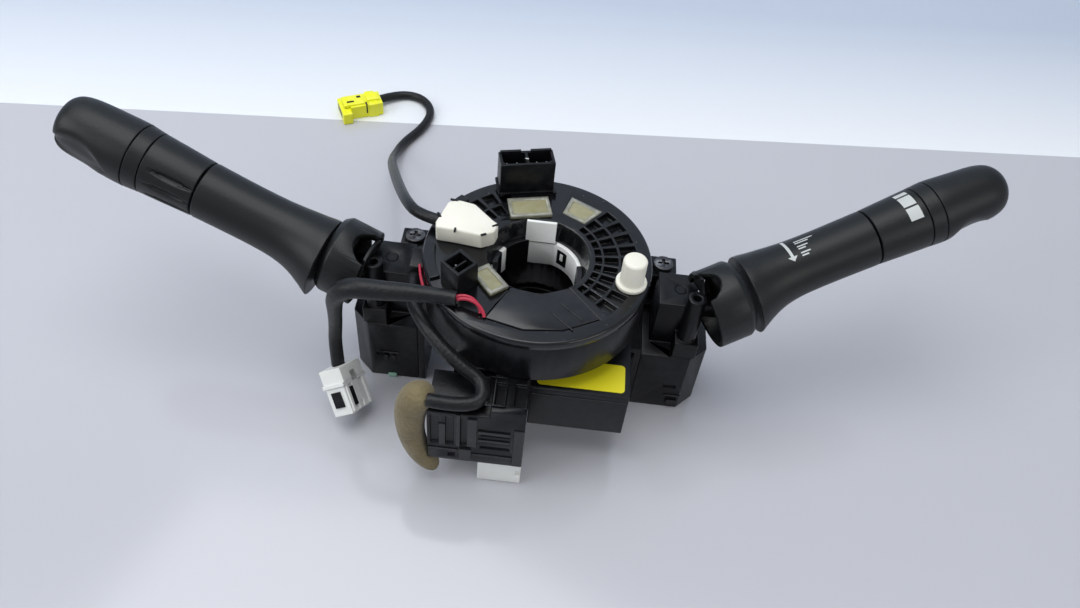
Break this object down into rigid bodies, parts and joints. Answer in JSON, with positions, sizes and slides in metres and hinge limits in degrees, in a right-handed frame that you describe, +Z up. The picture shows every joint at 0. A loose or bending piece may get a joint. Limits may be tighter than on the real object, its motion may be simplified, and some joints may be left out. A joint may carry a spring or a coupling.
{
  "type": "steering column switch with angle sensor",
  "caption": "Steering column switch unit: angle sensor and spiral cable round an open column bore, with turn and wiper levers on each side and short plug leads.",
  "frame": {"origin": "on the steering column's axis, at the lower face of the bracket's collar, in the plane the unit stands on", "axes": "+Z up the column towards the steering wheel, +X to the right seen from the wheel's lower edge, +Y away from that edge"},
  "size_m": [0.4207, 0.2836, 0.1154],
  "materials": {
    "black_moulding": "satin moulded",
    "gloss_black": "semi-gloss moulded",
    "sensor_black": "satin moulded",
    "lever_grip": "fine-grained soft touch",
    "zinc_screw": "zinc plated",
    "black_screw": "black zinc",
    "ribbon": "laminated film",
    "circuit_board": "solder mask",
    "yellow_label": "printed film",
    "white_nylon": "moulded nylon",
    "cream_nylon": "moulded nylon",
    "clear_plate": "translucent",
    "tinned_pin": "tinned",
    "black_sheath": "soft vinyl",
    "red_wire": "wire insulation",
    "yellow_plug": "moulded",
    "brown_foam": "open foam tape"
  },
  "bodies": {
    "base": {"switch_base": "black_moulding", "clamp_screw": "zinc_screw", "spiral_case": "black_moulding", "case_screws": "black_screw", "flat_cable": "ribbon", "sensor_housing": "sensor_black", "sensor_cover": "sensor_black", "sensor_board": "circuit_board", "sensor_label": "yellow_label", "connector_block": "black_moulding", "white_connector": "white_nylon", "white_insert": "white_nylon", "left_switch_housing": "black_moulding", "right_switch_housing": "black_moulding", "stator_lead": "black_sheath", "foam_tape": "brown_foam"},
    "rotor": {"rotor": "gloss_black", "rotor_lid": "gloss_black", "top_socket": "black_moulding", "top_socket_pins": "tinned_pin", "top_socket_plate": "clear_plate", "side_socket": "black_moulding", "side_socket_pins": "tinned_pin", "side_socket_plate": "clear_plate", "turn_window": "clear_plate", "outlet_block": "cream_nylon", "drive_pin": "cream_nylon", "cancel_cam": "white_nylon", "drive_gear": "white_nylon", "airbag_lead": "black_sheath", "airbag_plug": "yellow_plug", "wheel_lead": "black_sheath", "wheel_wires": "red_wire", "wheel_plug": "white_nylon"},
    "first_gear": {"first_measuring_gear": "white_nylon"},
    "second_gear": {"second_measuring_gear": "white_nylon"},
    "left_turn": {"left_yoke": "black_moulding", "left_flash_pin": "zinc_screw"},
    "left_stalk": {"left_neck": "lever_grip", "left_lever": "lever_grip", "left_band": "lever_grip"},
    "left_twist_ring": {"left_ring": "lever_grip"},
    "left_end_knob": {"left_knob": "lever_grip"},
    "right_turn": {"right_yoke": "black_moulding", "right_flash_pin": "zinc_screw"},
    "right_stalk": {"right_neck": "lever_grip", "right_lever": "lever_grip", "right_band": "lever_grip"},
    "right_twist_ring": {"right_ring": "lever_grip"},
    "right_end_knob": {"right_knob": "lever_grip"}
  },
  "joints": [
    {"name": "rotor_turn", "type": "hinge", "parent": "base", "child": "rotor", "pos_m": [0, 0, 0.083], "axis": [0, 0, 1], "range_deg": [-900, 900], "deforming": ["flat_cable", "airbag_lead", "airbag_plug", "wheel_lead", "wheel_plug", "wheel_wires"]},
    {"name": "first_gear_turn", "type": "hinge", "parent": "base", "child": "first_gear", "pos_m": [0.018, -0.03118, 0.045], "axis": [0, 0, 1], "range_deg": [-2705, 2705]},
    {"name": "second_gear_turn", "type": "hinge", "parent": "base", "child": "second_gear", "pos_m": [0.03314, -0.01272, 0.045], "axis": [0, 0, 1], "range_deg": [-2865, 2865]},
    {"name": "left_lever_turn", "type": "hinge", "parent": "base", "child": "left_turn", "pos_m": [-0.066, 0.007, 0.056], "axis": [0, 0, 1], "range_deg": [-8, 8]},
    {"name": "left_lever_pull", "type": "hinge", "parent": "left_turn", "child": "left_stalk", "pos_m": [-0.066, 0.007, 0.056], "axis": [0, 1, 0], "range_deg": [-2, 5]},
    {"name": "left_ring_twist", "type": "hinge", "parent": "left_stalk", "child": "left_twist_ring", "pos_m": [-0.087, -0.0019, 0.068], "axis": [-0.9332, 0.2223, 0.2823], "range_deg": [-20, 20]},
    {"name": "left_knob_twist", "type": "hinge", "parent": "left_stalk", "child": "left_end_knob", "pos_m": [-0.087, -0.0019, 0.068], "axis": [-0.9332, 0.2223, 0.2823], "range_deg": [-30, 30]},
    {"name": "right_lever_turn", "type": "hinge", "parent": "base", "child": "right_turn", "pos_m": [0.066, 0.007, 0.056], "axis": [0, 0, 1], "range_deg": [-8, 4]},
    {"name": "right_lever_pull", "type": "hinge", "parent": "right_turn", "child": "right_stalk", "pos_m": [0.066, 0.007, 0.056], "axis": [0, -1, 0], "range_deg": [-2, 5]},
    {"name": "right_ring_twist", "type": "hinge", "parent": "right_stalk", "child": "right_twist_ring", "pos_m": [0.087, 0.0037, 0.068], "axis": [0.8777, 0.3871, 0.2823], "range_deg": [-20, 20]},
    {"name": "right_knob_twist", "type": "hinge", "parent": "right_stalk", "child": "right_end_knob", "pos_m": [0.087, 0.0037, 0.068], "axis": [0.8777, 0.3871, 0.2823], "range_deg": [-30, 30]}
  ],
  "couplings": [
    {"joint": "first_gear_turn", "follows": "rotor_turn", "ratio": -3},
    {"joint": "second_gear_turn", "follows": "rotor_turn", "ratio": -3.1765}
  ]
}
